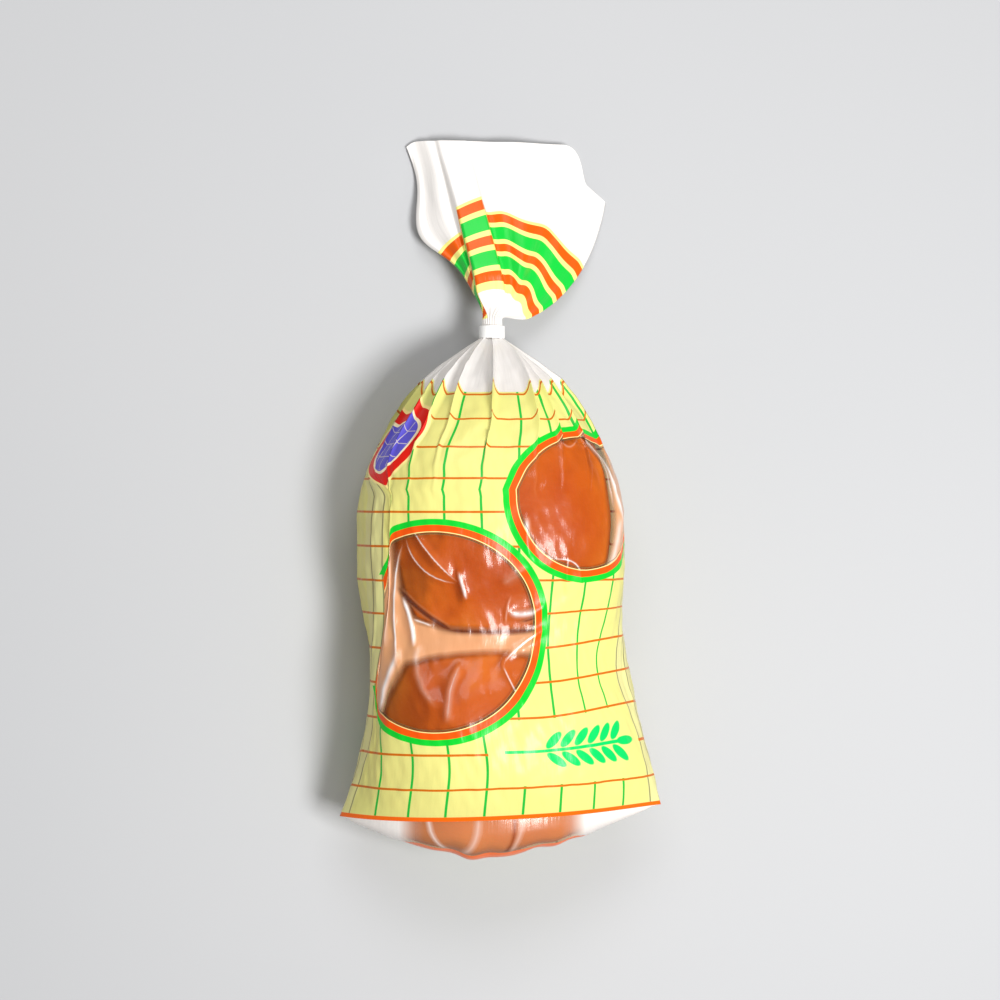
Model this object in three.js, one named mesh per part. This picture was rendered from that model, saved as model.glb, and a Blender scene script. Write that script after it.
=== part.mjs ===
// Hamburger buns in a printed film bag that lies on its back, with the printed front up.
// Millimetres: X runs across the pack, Y from the gusset to the mouth, and Z is up from the
// surface it lies on. The origin is on that surface, under the middle of the pack.
// The bag is one film, so it is one solid: the full body, the pleated cone up to the neck,
// and the collapsed tail that fans out above it. A band holds the neck.
import * as THREE from "three";

// ---- Driving dimensions ----
const bun = { across: 108, pitch: 107, crown: 80 }; // one bun, row to row, and the top of two layers
const body = {
  halfWidth: 63.2, // of the film round both layers
  roundness: 2.35, // exponent of the cross-section: 2 is an ellipse
  underside: -2.6, // the film would reach this low, and the surface flattens it to 0
  crownFall: 9.5, // from a crown to the valley between the rows
  waist: 1.2, // the sides pull in between the rows
  leanUpper: 4.5, // how far each row's top layer lies off its bottom layer, towards +X
  leanLower: -9,
  upperX: -4.5, // the middle of each row
  lowerX: 2,
};
const rows = { valley: -63, lower: -63 - bun.pitch / 2, upper: -63 + bun.pitch / 2 };
const hem = {
  y: -148.5,
  x: 0.8,
  halfWidth: 76.6,
  drop: 4, // of the front hem below the crowns
  lift: 5, // of the back hem over the surface
  tilt: 2.2, // the hem climbs this much from its middle to its right corner
  leftTip: -8, // height of the corners over the middle of the section
  rightTip: 9,
  begins: -76, // from here down the section turns into the wide, flat hem
};
const gusset = { bulge: 21.5, offCentre: -5, bluntness: 0.62, sideways: 1.45, roundMiddle: 0.1 };
const cone = { length: 95, sidePower: 2.25, topPower: 2.6, underPower: 1.6, underLength: 66 };
const neck = { x: -1.8, y: 81, z: 27, radius: 5.2, halfLength: 3.6 };
const pleats = { count: 14, depth: 2.6, fullAt: 26, fadeAt: 74 };
const tail = {
  reach: 95.8, // from the neck to the straight mouth edge
  rightReach: 92, // to the mouth's turned right corner
  notchFrom: 55, // degrees: the mouth edge steps back between this ray and the next
  notchTo: 67.5,
  leftReach: 99.5, // to the mouth's rounded left corner
  cornerFrom: 113,
  cornerTo: 109,
  leftAngle: 112.6, // degrees: the fan's left edge, and how far it flares half way up
  leftFlare: 12,
  flareAt: 53,
  flareWidth: 17,
  rightAngle: 9, // degrees at the neck: the fan's right edge, which rises as it goes
  rightRise: 0.405,
  thickness: 2.4, // of the two layers as they lie together
  edgeThickness: 1.4,
  clearance: 0.2, // over the surface
  arch: 9, // the middle of the fan stands this much over its sides
  waves: 5,
  waveHeight: 2.2,
  strapWidth: 13, // a fold that stands on the fan, straight up from the neck
  strapHeight: 7,
  strapAngle: 98,
};
const band = { gap: 0.3, wall: 0.7, halfLength: 3, bevel: 0.25 };
const grid = { around: 84, bodyRings: 36, tailRings: 15, gussetRows: 8, sample: 240, bandSides: 48 };

const half = grid.around / 2;
const degrees = Math.PI / 180;
const mix = THREE.MathUtils.lerp;
const ease = (x, from, to) => THREE.MathUtils.smoothstep(x, from, to);
const bump = (x, centre, width) => Math.exp(-(((x - centre) / width) ** 2));
const saturate = (x, power) => 1 - (1 - THREE.MathUtils.clamp(x, 0, 1)) ** power;

// ---- The body and its cone, as cross-sections along Y ----

// How far the section at y has opened from the neck, from 0 to 1.
const opened = (y, length, power) => saturate((neck.y - neck.halfLength - y) / length, power);

// How far the section at y has turned into the wide, flat hem, from 0 to 1.
const hemmed = (y) => THREE.MathUtils.clamp((hem.begins - y) / (hem.begins - hem.y), 0, 1);

function topOf(y) {
  const phase = (2 * Math.PI * (y - rows.upper)) / bun.pitch;
  const sunk = y > rows.upper ? 0 : ((1 - Math.cos(phase)) / 2) ** 1.5;
  const crown = bun.crown - body.crownFall * sunk - hem.drop * hemmed(y) ** 3;
  return mix(neck.z + neck.radius, crown, opened(y, cone.length, cone.topPower));
}

function undersideOf(y) {
  const low = mix(neck.z - neck.radius, body.underside, opened(y, cone.underLength, cone.underPower));
  return low + hem.lift * hemmed(y) ** 2;
}

function halfWidthOf(y) {
  const wide = mix(body.halfWidth, hem.halfWidth, hemmed(y) ** 1.7);
  const waisted = wide - body.waist * bump(y, rows.valley, bun.pitch / 5);
  return mix(neck.radius, waisted, opened(y, cone.length, cone.sidePower));
}

// A value that goes from the lower row's to the upper row's.
const alongRows = (y, lower, upper) => mix(lower, upper, (1 + Math.tanh((y - rows.valley) / 22)) / 2);

function middleOf(y) {
  const row = alongRows(y, body.lowerX, body.upperX);
  return mix(neck.x, mix(row, hem.x, hemmed(y) ** 3), opened(y, cone.length, cone.sidePower));
}

// The even spacing of a closed curve's upper or lower half, as count + 1 points.
function evenly(points, count) {
  const along = [0];
  for (let i = 1; i < points.length; i++) along.push(along[i - 1] + points[i].distanceTo(points[i - 1]));
  const total = along[along.length - 1];
  let at = 1;
  return Array.from({ length: count + 1 }, (_, k) => {
    const wanted = (total * k) / count;
    while (at < along.length - 1 && along[at] < wanted) at++;
    const share = (wanted - along[at - 1]) / (along[at] - along[at - 1]);
    return points[at - 1].clone().lerp(points[at], share);
  });
}

// One half of a section, from the left side seam to the right one: side is 1 above and -1 below.
function halfSection(y, side) {
  const top = topOf(y);
  const under = undersideOf(y);
  const wide = halfWidthOf(y);
  const flat = hemmed(y) ** 1.3;
  const open = opened(y, cone.length, 1);
  const roundness = mix(2, body.roundness, Math.min(1, 3 * open));
  const sidePower = 2 / roundness;
  const heightPower = 2 / mix(roundness, 1.02, flat);
  const lean = alongRows(y, body.leanLower, body.leanUpper) * open;
  const points = [];
  for (let k = 0; k <= grid.sample; k++) {
    const turn = Math.PI * (1 - k / grid.sample);
    const across = Math.sign(Math.cos(turn)) * Math.abs(Math.cos(turn)) ** sidePower;
    const height = side * Math.abs(Math.sin(turn)) ** heightPower;
    const outer = Math.abs(across) ** 6 * flat;
    const z = mix(under, top, (1 + height) / 2) + (across < 0 ? hem.leftTip : hem.rightTip) * outer;
    points.push(
      new THREE.Vector3(
        middleOf(y) + wide * across + lean * height * (1 - flat),
        y + hem.tilt * across * hemmed(y),
        Math.max(z, 0),
      ),
    );
  }
  return evenly(points, half);
}

function closedRing(above, below) {
  return [...above.slice(0, half), ...below.slice().reverse().slice(0, half)];
}

// Pleats run down the cone from the neck and die out on the shoulders.
function pleated(ring, y) {
  const fromNeck = neck.y - neck.halfLength - y;
  const grown = ease(fromNeck, 0, pleats.fullAt);
  const depth = pleats.depth * grown * (1 - ease(fromNeck, pleats.fullAt, pleats.fadeAt));
  if (depth < 0.02) return ring;
  return ring.map((point, i) => {
    const before = ring[(i + grid.around - 1) % grid.around];
    const after = ring[(i + 1) % grid.around];
    const out = new THREE.Vector3(-(after.z - before.z), 0, after.x - before.x).normalize();
    const ridge = Math.cos((2 * Math.PI * pleats.count * i) / grid.around);
    const moved = point.clone().addScaledVector(out, depth * (ridge - 0.4));
    moved.z = Math.max(moved.z, 0);
    return moved;
  });
}

function bodyRings() {
  const last = neck.y - neck.halfLength;
  return Array.from({ length: grid.bodyRings + 1 }, (_, k) => {
    const y = mix(hem.y, last, saturate(k / grid.bodyRings, 1.25));
    return pleated(closedRing(halfSection(y, 1), halfSection(y, -1)), y);
  });
}

// The gathered neck is round, and the same for the whole of its length.
function neckRing(y) {
  return Array.from({ length: grid.around }, (_, i) => {
    const turn = Math.PI - (2 * Math.PI * i) / grid.around;
    return new THREE.Vector3(neck.x + neck.radius * Math.cos(turn), y, neck.z + neck.radius * Math.sin(turn));
  });
}

// ---- The tail: two layers lying together, on rays that leave the neck ----

function rayAngle(across, r) {
  const left = tail.leftAngle + tail.leftFlare * bump(r, tail.flareAt, tail.flareWidth);
  const right = tail.rightAngle + tail.rightRise * r;
  return mix(left, right, across) * degrees;
}

function mouthReach(angle) {
  const top = tail.reach / Math.sin(angle);
  const turned = angle / degrees;
  if (turned > 90) return mix(top, Math.min(top, tail.leftReach), ease(turned, tail.cornerTo, tail.cornerFrom));
  return Math.min(top, mix(tail.rightReach, top, ease(turned, tail.notchFrom, tail.notchTo)));
}

function tailPoint(across, t, side) {
  const angle = rayAngle(across, t * tail.reach);
  const r = t * mouthReach(angle);
  const sheet = mix(tail.edgeThickness, tail.thickness, Math.sin(Math.PI * across)) / 2;
  const wave = tail.waveHeight * t * Math.sin(Math.PI * across) * Math.cos(2 * Math.PI * tail.waves * across);
  const arch = tail.arch * Math.sin(Math.PI * across) * (1 - 0.35 * t);
  const fromStrap = r * Math.sin(angle - tail.strapAngle * degrees);
  const strap = tail.strapHeight * bump(fromStrap, 0, tail.strapWidth / 2) * ease(t, 0.12, 0.4) * (1 - 0.6 * t);
  const low = sheet + tail.clearance + tail.waveHeight * t * Math.sin(Math.PI * across);
  const z = mix(neck.z, low, saturate(t, 1.5)) + (arch + strap) * ease(t, 0, 0.35) + wave;
  const y = neck.y + Math.hypot(neck.halfLength + 0.5, r * Math.sin(angle));
  return new THREE.Vector3(neck.x + r * Math.cos(angle), y, z + side * sheet);
}

function tailRings() {
  const start = neckRing(neck.y + neck.halfLength);
  return Array.from({ length: grid.tailRings }, (_, k) => {
    const t = mix(0.075, 1, (k / (grid.tailRings - 1)) ** 1.15);
    const fanned = (side) => Array.from({ length: half + 1 }, (_, i) => tailPoint(i / half, t, side));
    const ring = closedRing(fanned(1), fanned(-1));
    const open = ease(t, 0, 0.22);
    return ring.map((point, i) => {
      const gathered = start[i].clone();
      gathered.y += t * tail.reach * 0.6;
      return gathered.lerp(point, open);
    });
  });
}

// ---- The gusset: the clear film under the hems, over the rims of the lower row ----
function gussetRows(ring) {
  return Array.from({ length: grid.gussetRows - 1 }, (_, k) => {
    const turn = (Math.PI * (k + 1)) / grid.gussetRows;
    return Array.from({ length: half + 1 }, (_, i) => {
      const front = ring[i];
      const back = ring[(grid.around - i) % grid.around];
      const middle = front.clone().lerp(back, 0.5);
      const toSide = hem.x + Math.sign(middle.x - gusset.offCentre) * hem.halfWidth - gusset.offCentre;
      const fromMiddle = (middle.x - gusset.offCentre) / toSide;
      const aside = Math.min(1, Math.hypot(fromMiddle, gusset.roundMiddle));
      const out = gusset.bulge * (1 - aside ** gusset.sideways) * Math.sin(turn) ** gusset.bluntness;
      const over = Math.sign(Math.cos(turn)) * Math.abs(Math.cos(turn)) ** gusset.bluntness;
      return new THREE.Vector3(
        mix(back.x, front.x, (1 + over) / 2),
        middle.y - out * Math.min(1, (front.z - back.z) / 12),
        Math.max(0, mix(back.z, front.z, (1 + over) / 2)),
      );
    });
  });
}

// ---- The film as one closed mesh ----
function bagGeometry() {
  const rings = [
    ...bodyRings(),
    neckRing(neck.y - neck.halfLength + 0.8),
    neckRing(neck.y + neck.halfLength - 0.8),
    ...tailRings(),
  ];
  const corners = [];
  const face = (a, b, c) => corners.push(a, b, c);
  const quad = (a, b, c, d) => {
    face(a, b, c);
    face(a, c, d);
  };
  for (let k = 0; k + 1 < rings.length; k++)
    for (let i = 0; i < grid.around; i++) {
      const j = (i + 1) % grid.around;
      quad(rings[k][i], rings[k][j], rings[k + 1][j], rings[k + 1][i]);
    }
  // The gusset joins the front hem to the back hem, and both end in the corners at the side seams.
  const first = rings[0];
  const frontHem = first.slice(0, half + 1);
  const backHem = frontHem.map((_, i) => first[(grid.around - i) % grid.around]);
  const strips = [frontHem, ...gussetRows(first), backHem];
  for (const strip of strips) {
    strip[0] = first[0];
    strip[half] = first[half];
  }
  for (let k = 0; k + 1 < strips.length; k++)
    for (let i = 0; i < half; i++) quad(strips[k][i], strips[k + 1][i], strips[k + 1][i + 1], strips[k][i + 1]);
  // The mouth closes between the tail's two layers.
  const last = rings[rings.length - 1];
  for (let i = 0; i < half; i++)
    quad(last[i], last[i + 1], last[grid.around - i - 1], last[(grid.around - i) % grid.around]);

  const solidFaces = [];
  for (let i = 0; i < corners.length; i += 3) {
    const [a, b, c] = corners.slice(i, i + 3);
    if (a.distanceTo(b) > 1e-6 && b.distanceTo(c) > 1e-6 && c.distanceTo(a) > 1e-6)
      solidFaces.push(...a.toArray(), ...b.toArray(), ...c.toArray());
  }
  const geometry = new THREE.BufferGeometry();
  geometry.setAttribute("position", new THREE.Float32BufferAttribute(solidFaces, 3));
  geometry.computeVertexNormals();
  return geometry;
}

// ---- The band round the neck ----
function bandGeometry() {
  const inner = neck.radius + band.gap;
  const outer = inner + band.wall;
  const profile = [
    new THREE.Vector2(inner, -band.halfLength),
    new THREE.Vector2(outer - band.bevel, -band.halfLength),
    new THREE.Vector2(outer, -band.halfLength + band.bevel),
    new THREE.Vector2(outer, band.halfLength - band.bevel),
    new THREE.Vector2(outer - band.bevel, band.halfLength),
    new THREE.Vector2(inner, band.halfLength),
    new THREE.Vector2(inner, -band.halfLength),
  ];
  return new THREE.LatheGeometry(profile, grid.bandSides);
}

const bagFilm = new THREE.MeshStandardMaterial({ color: 0xf4ee9a, roughness: 0.25, metalness: 0 });
const bandWhite = new THREE.MeshStandardMaterial({ color: 0xf6f6f4, roughness: 0.45, metalness: 0 });

const pack = new THREE.Group();
const bag = new THREE.Mesh(bagGeometry(), bagFilm);
bag.name = "bag";
pack.add(bag);

const neckBand = new THREE.Mesh(bandGeometry(), bandWhite);
neckBand.name = "neck_band";
neckBand.position.set(neck.x, neck.y, neck.z);
pack.add(neckBand);

// The origin goes under the middle of the pack's footprint.
const bounds = new THREE.Box3().setFromObject(pack);
const middle = bounds.getCenter(new THREE.Vector3());
pack.position.set(-middle.x, -middle.y, -bounds.min.z);

export default pack;
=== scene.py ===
# Four hamburger buns in a clear film bag, printed with a check and round windows.
# The bag lies on its back with the printed front up. Film sizes are in mm, Blender's in metres.
import math

import bpy
import numpy as np
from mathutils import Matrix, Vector
from mathutils.bvhtree import BVHTree


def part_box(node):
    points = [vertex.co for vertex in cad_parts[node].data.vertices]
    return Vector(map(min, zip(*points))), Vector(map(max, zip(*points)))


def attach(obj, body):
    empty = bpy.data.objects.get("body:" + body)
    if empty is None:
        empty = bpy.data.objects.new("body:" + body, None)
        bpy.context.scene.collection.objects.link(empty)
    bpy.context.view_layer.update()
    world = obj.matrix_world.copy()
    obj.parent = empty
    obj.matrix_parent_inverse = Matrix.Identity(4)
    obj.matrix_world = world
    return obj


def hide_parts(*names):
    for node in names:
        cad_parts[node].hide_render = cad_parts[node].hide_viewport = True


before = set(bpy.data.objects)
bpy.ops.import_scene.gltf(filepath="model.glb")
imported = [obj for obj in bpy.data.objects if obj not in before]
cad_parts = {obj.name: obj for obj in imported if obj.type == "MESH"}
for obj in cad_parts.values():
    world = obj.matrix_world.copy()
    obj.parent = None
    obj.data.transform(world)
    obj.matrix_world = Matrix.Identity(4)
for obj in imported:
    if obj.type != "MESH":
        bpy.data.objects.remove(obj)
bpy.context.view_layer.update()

mm = 0.001

# The bag's outer form, from the neck down to the hem.
bag = dict(
    crown=80, crownFall=9.5, pitch=107, valley=-63, upperRow=-9.5,
    halfWidth=63.2, roundness=2.35, underside=-2.6, waist=1.2,
    leanUpper=4.5, leanLower=-9, upperX=-4.5, lowerX=2,
    hemY=-148.5, hemX=0.8, hemHalfWidth=76.6, hemDrop=4, hemLift=5, hemTilt=2.2,
    leftTip=-8, rightTip=9, hemBegins=-76,
    coneLength=95, coneSide=2.25, coneTop=2.6, coneUnder=1.6, underLength=66,
)
neck = dict(x=-1.8, y=81, z=27, radius=5.2, halfLength=3.6)
gusset = dict(
    bulge=21.5, offCentre=-5, bluntness=0.62, sideways=1.45, roundMiddle=0.1, rows=22, folds=0.9,
    # where the back's print begins, as a share of the way round, and mm of film before and after
    beginsAtSide=0.8, beginsInMiddle=0.26, before=70, after=14,
)
tail = dict(
    reach=94.6, rightReach=91, notchFrom=55, notchTo=67.5, leftReach=99.5, cornerFrom=113, cornerTo=109,
    leftAngle=112.6, leftFlare=12, flareAt=53, flareWidth=17, rightAngle=9, rightRise=0.405,
    sheet=1.1, edgeSheet=0.6, clearance=0.4, arch=9, waveHeight=2.0, rows=58,
    strapStarts=0.30, strapEnds=0.45, strapWidth=14, strapHeight=4.6, strapTurn=102.5, strapFoot=4.2,
)
# The flat printed film: squares between two clear welds, rows from the hem up.
sheet = dict(
    across=17.2, along=16.3, squares=9, rowCount=13, weld=6, clearToNeck=33,
    gathers=6.7, gathersFrom=6.5,  # the rows crowd together by this much where the neck gathers the film
    rightLower=4.5, rightLowerEnds=(85, 115), columns=214, rows=150,
    backStarts=200,  # the back panel's widths begin here in the film's map
)
filmWidth = sheet["squares"] * sheet["across"] + 2 * sheet["weld"]
printTop = sheet["rowCount"] * sheet["along"]
filmToNeck = printTop + sheet["clearToNeck"] + sheet["gathers"]

bandLow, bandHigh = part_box("neck_band")
bandMiddle = (bandLow + bandHigh) / 2
shiftX = bandMiddle.x / mm - neck["x"]  # the frame's origin lies under the middle of the pack
shiftY = bandMiddle.y / mm - neck["y"]


def mix(a, b, share):
    return a + (b - a) * share


def saturate(x, power):
    return 1 - (1 - np.clip(x, 0, 1)) ** power


def ease(x, start, end):
    t = np.clip((x - start) / (end - start), 0, 1)
    return t * t * (3 - 2 * t)


def bump(x, centre, width):
    return np.exp(-(((x - centre) / width) ** 2))


def ripple(a, v, seedNumber, wave, count=9):
    # A smooth uneven field between about -1 and 1, the same each run.
    draw = np.random.default_rng(seedNumber)
    total = 0
    for _ in range(count):
        turn = draw.uniform(0, 2 * np.pi)
        length = wave * draw.uniform(0.7, 1.5)
        phase = draw.uniform(0, 2 * np.pi)
        total = total + np.sin(2 * np.pi * (a * np.cos(turn) + v * np.sin(turn)) / length + phase)
    return total / math.sqrt(count)


# The bag's sections have the same form as the solid that the film replaces.

def opened(y, length, power):
    return saturate((neck["y"] - neck["halfLength"] - y) / length, power)


def hemmed(y):
    return np.clip((bag["hemBegins"] - y) / (bag["hemBegins"] - bag["hemY"]), 0, 1)


def alongRows(y, lower, upper):
    return mix(lower, upper, (1 + np.tanh((y - bag["valley"]) / 22)) / 2)


def halfSection(y, side, samples=260):
    # One half of each section, left to right: y is a column of heights along the bag.
    y = np.asarray(y, float)[:, None]
    turn = np.pi * (1 - np.arange(samples + 1)[None, :] / samples)
    phase = 2 * np.pi * (y - bag["upperRow"]) / bag["pitch"]
    sunk = np.where(y > bag["upperRow"], 0, ((1 - np.cos(phase)) / 2) ** 1.5)
    crown = bag["crown"] - bag["crownFall"] * sunk - bag["hemDrop"] * hemmed(y) ** 3
    top = mix(neck["z"] + neck["radius"], crown, opened(y, bag["coneLength"], bag["coneTop"]))
    underSides = opened(y, bag["underLength"], bag["coneUnder"])
    under = mix(neck["z"] - neck["radius"], bag["underside"], underSides)
    under = under + bag["hemLift"] * hemmed(y) ** 2
    sides = opened(y, bag["coneLength"], bag["coneSide"])
    wide = mix(bag["halfWidth"], bag["hemHalfWidth"], hemmed(y) ** 1.7)
    wide = wide - bag["waist"] * bump(y, bag["valley"], bag["pitch"] / 5)
    wide = mix(neck["radius"], wide, sides)
    middle = mix(alongRows(y, bag["lowerX"], bag["upperX"]), bag["hemX"], hemmed(y) ** 3)
    middle = mix(neck["x"], middle, sides)
    flat = hemmed(y) ** 1.3
    openShare = opened(y, bag["coneLength"], 1)
    roundness = mix(2, bag["roundness"], np.minimum(1, 3 * openShare))
    lean = alongRows(y, bag["leanLower"], bag["leanUpper"]) * openShare
    across = np.sign(np.cos(turn)) * np.abs(np.cos(turn)) ** (2 / roundness)
    height = side * np.abs(np.sin(turn)) ** (2 / mix(roundness, 1.02, flat))
    outer = np.abs(across) ** 6 * flat
    x = middle + wide * across + lean * height * (1 - flat)
    z = mix(under, top, (1 + height) / 2) + np.where(across < 0, bag["leftTip"], bag["rightTip"]) * outer
    return np.stack([x, y + bag["hemTilt"] * across * hemmed(y), np.maximum(z, 0)], -1)


def pathLength(points, axis):
    step = np.linalg.norm(np.diff(points, axis=axis), axis=-1)
    start = np.zeros_like(np.take(step, [0], axis=axis))
    return np.concatenate([start, np.cumsum(step, axis=axis)], axis=axis)


# How the two panels lie round the bag: the front's left weld sits on the left side below the
# shoulder, its right weld is drawn in low on the right, and the front's spare film goes into a
# tuck on the left, a slack stretch on the right and the neck's pleats.
lie = dict(
    leftWeld=17, leftWeldTop=-3, shoulderRow=10.0, hemFade=(-104, -146),
    rightWeld=6, rightWeldTop=-1, drawnIn=12, drawnInAt=4.2, drawnInRows=1.4,
    tuckAt=(0.5, 0.85), tuckHalf=(0.55, 0.75), tuckBetween=(3.0, 8.5), tuckRows=(-1.4, 2.8),
    slackAt=7.6, slackHalf=1.5, spareEase=8,
)
pleat = dict(
    # where each pleat's crest lies in squares, and its share of the spare film
    frontAt=(
        (0.35, 0.95), (1.2, 0.95), (2.0, 0.9), (2.75, 0.6), (4.1, 1.15),
        (5.5, 0.95), (6.3, 1.1), (7.15, 1.1), (8.15, 1.1),
    ),
    backAt=tuple((at, 1.0) for at in (0.8, 1.7, 2.6, 3.5, 4.6, 5.6, 6.5, 7.5, 8.4)),
    foot=2.2, capAtNeck=1.0, capRise=0.16, crestShift=4.8, lean=1.4, fadeFrom=40, fadeTo=78,
)


def ridgeShape(fromCrest, halfSpan):
    return np.clip(1 - np.abs(fromCrest) / halfSpan, 0, 1) ** 1.15


def layPanel(columns, room, y, row, crests, front):
    # Where each film column lies on its panel's arc, how high it stands, and how far its
    # print is drawn up. room is the arc's length at each y.
    a = np.linspace(0, filmWidth, columns + 1)[None, :]
    cell = (a - sheet["weld"]) / sheet["across"]
    spare = (filmWidth - room)[:, None]
    fromNeck = (neck["y"] - neck["halfLength"] - y)[:, None]
    inCone = 1 - ease(fromNeck, pleat["fadeFrom"], pleat["fadeTo"])
    row = row[:, None]
    tucked = ease(row, *lie["tuckRows"]) if front else 0.0
    low = ease(row, *lie["tuckBetween"])
    fromTuck = np.abs(cell - mix(*lie["tuckAt"], low)) / mix(*lie["tuckHalf"], low)
    tuckShape = np.clip(1 - fromTuck ** 4, 0, 1)
    fromSlack = np.abs(cell - lie["slackAt"]) / lie["slackHalf"]
    slackShape = np.clip(1 - fromSlack ** 2, 0, 1)
    # Smoothly nothing where the panel has no spare film.
    taken = (spare + np.sqrt(spare ** 2 + lie["spareEase"] ** 2)) / 2
    inPleats = taken * inCone
    each = inPleats / len(crests)
    drawn = np.zeros((len(y), columns + 1))
    stands = np.zeros_like(drawn)
    leaning = np.zeros_like(drawn)
    cap = pleat["capAtNeck"] + pleat["capRise"] * np.maximum(fromNeck, 0)
    for crest, part in crests:
        at = sheet["weld"] + crest * sheet["across"]
        own = each * part
        tall = np.minimum(0.42 * np.sqrt(own ** 2 + 2 * own * pleat["foot"]), cap)
        shape = ridgeShape(a - at, (own + pleat["foot"]) / 2 * 1.15)
        drawn += shape * part
        stands += tall * shape
        leaning += pleat["lean"] * np.sign(at - filmWidth / 2) * shape * np.minimum(tall / 2, 1)
    drawn = drawn / np.maximum(drawn.mean(1, keepdims=True), 1e-6) / filmWidth * inPleats
    rest = taken * (1 - inCone)
    drawnIn = lie["drawnIn"] * bump(row, lie["drawnInAt"], lie["drawnInRows"])
    slackTake = mix(rest, np.minimum(rest, drawnIn), tucked)
    tuckTake = rest - slackTake
    weight = np.broadcast_to(tuckShape, drawn.shape)
    drawn = drawn + weight / weight.mean(1, keepdims=True) / filmWidth * tuckTake
    weight = np.broadcast_to(slackShape, drawn.shape)
    drawn = drawn + weight / weight.mean(1, keepdims=True) / filmWidth * slackTake
    density = np.clip(1 - drawn, 0.06, 1)
    steps = (density[:, 1:] + density[:, :-1]) / 2
    along = np.concatenate([np.zeros((len(y), 1)), np.cumsum(steps, axis=1)], axis=1)
    along = along / along[:, -1:]
    drawnUp = pleat["crestShift"] * np.clip(stands / 3, 0, 1) * inCone
    return along * room[:, None], stands, leaning, drawnUp


def rowAt(length):
    # The print's row at each length of film from the hem, along the middle of the front.
    row = length / (length[-1] - sheet["clearToNeck"]) * sheet["rowCount"]
    crowded = np.maximum((row - sheet["gathersFrom"]) / 6, 0)
    past = np.minimum(crowded, 1) ** 3
    return row + sheet["gathers"] / sheet["along"] * past


def layBody():
    # The film from the hem to the neck, as columns round the bag and rows along it.
    lastY = neck["y"] - neck["halfLength"]
    fine = np.linspace(bag["hemY"], lastY, 500)
    sections = halfSection(fine, 1)
    length = pathLength(sections[:, sections.shape[1] // 2], 0)
    y = np.interp(np.linspace(0, length[-1], sheet["rows"] + 1), length, fine)
    row = np.interp(y, fine, rowAt(length))
    upper = halfSection(y, 1)
    lower = halfSection(y, -1)
    ring = np.concatenate([lower[:, ::-1][:, :-1], upper[:, :-1], lower[:, ::-1]], axis=1)
    arc = pathLength(ring, 1)
    samples = upper.shape[1] - 1
    leftEnd, rightEnd, around = arc[:, samples], arc[:, 2 * samples], arc[:, -1]
    nearHem = ease(-y, -lie["hemFade"][0], -lie["hemFade"][1])
    shoulder = row - lie["shoulderRow"]
    leftWeld = mix(lie["leftWeld"], lie["leftWeldTop"], ease(shoulder, -0.6, 0.45))
    leftWeld = leftWeld * (1 - nearHem) * mix(0.45, 1, ease(row, 2.5, 7))
    leftWeld = leftWeld * opened(y, 60, 1)
    rightWeld = mix(lie["rightWeld"], lie["rightWeldTop"], ease(shoulder, -0.7, 0.8))
    rightWeld = rightWeld + lie["drawnIn"] * bump(row, lie["drawnInAt"], lie["drawnInRows"])
    rightWeld = rightWeld * (1 - nearHem) * opened(y, 60, 1)
    start = leftEnd + leftWeld
    end = rightEnd - rightWeld
    columns = sheet["columns"]
    room = end - start
    frontAlong, frontStands, frontLean, frontUp = layPanel(columns, room, y, row, pleat["frontAt"], True)
    room = (around - leftEnd) - room
    backAlong, backStands, backLean, backUp = layPanel(columns, room, y, row, pleat["backAt"], False)
    place = np.concatenate([start[:, None] + frontAlong, end[:, None] + backAlong[:, 1:]], axis=1)
    stands = np.concatenate([frontStands, backStands[:, 1:]], axis=1)
    leaning = np.concatenate([frontLean, backLean[:, 1:]], axis=1)
    drawnUp = np.concatenate([frontUp, backUp[:, 1:]], axis=1)
    place = place + leaning
    lap = (around - leftEnd)[:, None]
    place = np.where(place > around[:, None], place - lap, place)
    film = np.stack([
        np.stack([np.interp(place[j], arc[j], ring[j, :, k]) for k in range(3)], -1) for j in range(len(y))
    ])
    mapped = rowAt(length) * sheet["along"]
    return film, stands, drawnUp, lambda at: np.interp(at, fine, mapped)


def outward(film):
    # Unit normals of a grid of points whose columns run round the bag.
    alongBag = np.gradient(film, axis=0)
    round_ = np.roll(film[:, :-1], -1, axis=1) - np.roll(film[:, :-1], 1, axis=1)
    round_ = np.concatenate([round_, round_[:, :1]], axis=1)
    normal = np.cross(round_, alongBag)
    return normal / np.maximum(np.linalg.norm(normal, axis=-1, keepdims=True), 1e-9)


# Above the band both panels lie together in a fan, with one fold standing on it.

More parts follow.
